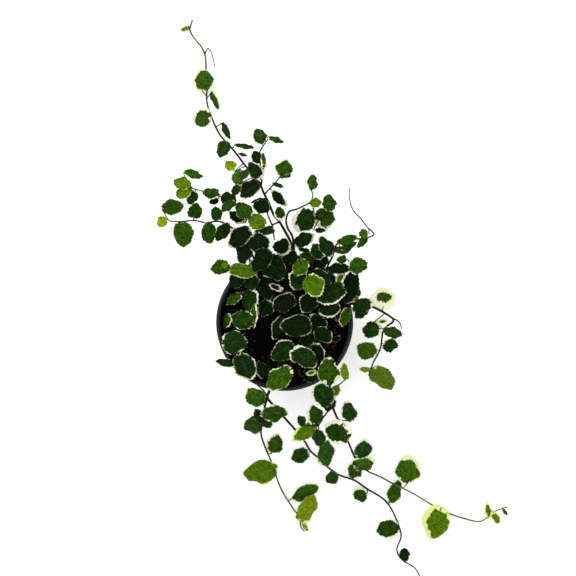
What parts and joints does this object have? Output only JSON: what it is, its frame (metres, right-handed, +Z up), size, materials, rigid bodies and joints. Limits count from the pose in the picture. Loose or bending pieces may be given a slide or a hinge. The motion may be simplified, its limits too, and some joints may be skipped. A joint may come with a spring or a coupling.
{
  "type": "potted creeping fig",
  "caption": "Variegated creeping fig with cream-edged leaves, growing over and trailing from a round black nursery pot.",
  "frame": {"origin": "middle of the pot's underside, on the surface that it stands on", "axes": "+Z up along the pot's axis, +Y towards the longest upper runner, +X to the right in the view from above"},
  "size_m": [0.2877, 0.4746, 0.1342],
  "materials": {
    "nursery_pot": "moulded black polypropylene with a soft sheen",
    "potting_soil": "dark moist peat and bark",
    "leafy_stem": "green leaves with irregular cream margins on thin brown stems"
  },
  "bodies": {
    "root": {"nursery_pot": "nursery_pot", "potting_soil": "potting_soil", "runner_northwest": "leafy_stem", "shoot_northeast": "leafy_stem", "shoot_west_upper": "leafy_stem", "shoot_west_lower": "leafy_stem", "shoot_west_pair": "leafy_stem", "shoot_low_west": "leafy_stem", "crown_west": "leafy_stem", "crown_centre": "leafy_stem", "crown_north": "leafy_stem", "crown_top": "leafy_stem", "crown_east": "leafy_stem", "twig_east": "leafy_stem", "runner_east": "leafy_stem", "shoot_low_east": "leafy_stem", "shoot_low_south": "leafy_stem", "runner_south": "leafy_stem", "runner_southeast": "leafy_stem"}
  },
  "joints": []
}
